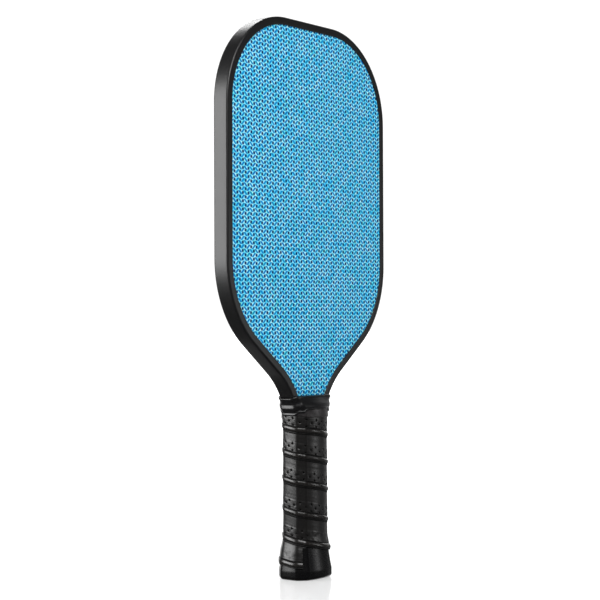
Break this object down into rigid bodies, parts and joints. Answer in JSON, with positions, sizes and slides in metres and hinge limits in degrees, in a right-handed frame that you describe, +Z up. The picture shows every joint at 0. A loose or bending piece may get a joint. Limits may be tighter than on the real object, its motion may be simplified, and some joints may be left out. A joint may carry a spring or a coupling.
{
  "type": "pickleball paddle",
  "caption": "Light-blue woven-faced honeycomb paddle with a black edge guard, a perforated wrapped octagonal grip, a rubber collar at the neck and a flared butt cap",
  "frame": {"origin": "the middle of the butt's flat end, where the handle's long axis leaves the paddle", "axes": "X runs across the face, Y runs through the paddle from the front face at -Y to the back face at +Y, and Z runs up the handle towards the top of the head"},
  "size_m": [0.192, 0.0274, 0.4078],
  "materials": {
    "core_polymer": "thin extruded polypropylene cell walls, slightly translucent",
    "scrim": "thin non-woven bonding veil",
    "face_composite": "tinted glass-fibre weave under a thin clear resin",
    "bond_tape": "double-sided foam tape",
    "guard_plastic": "satin extruded thermoplastic",
    "handle_wood": "bare milled basswood",
    "cap_plastic": "fine-textured moulded plastic",
    "staple_steel": "bright wire",
    "grip_felt": "cushioned felt backing",
    "grip_tape": "soft synthetic leather with perforations",
    "finish_tape": "smooth stretch tape",
    "collar_rubber": "smooth moulded rubber"
  },
  "bodies": {
    "root": {"honeycomb_core": "core_polymer", "front_scrim": "scrim", "back_scrim": "scrim", "front_face_sheet": "face_composite", "back_face_sheet": "face_composite", "edge_bond_tape": "bond_tape", "edge_guard": "guard_plastic", "handle_shell_front": "handle_wood", "handle_shell_back": "handle_wood", "butt_cap": "cap_plastic", "butt_cap_staples": "staple_steel", "grip_backing": "grip_felt", "grip_wrap": "grip_tape", "finishing_tape": "finish_tape", "grip_collar": "collar_rubber"}
  },
  "joints": []
}
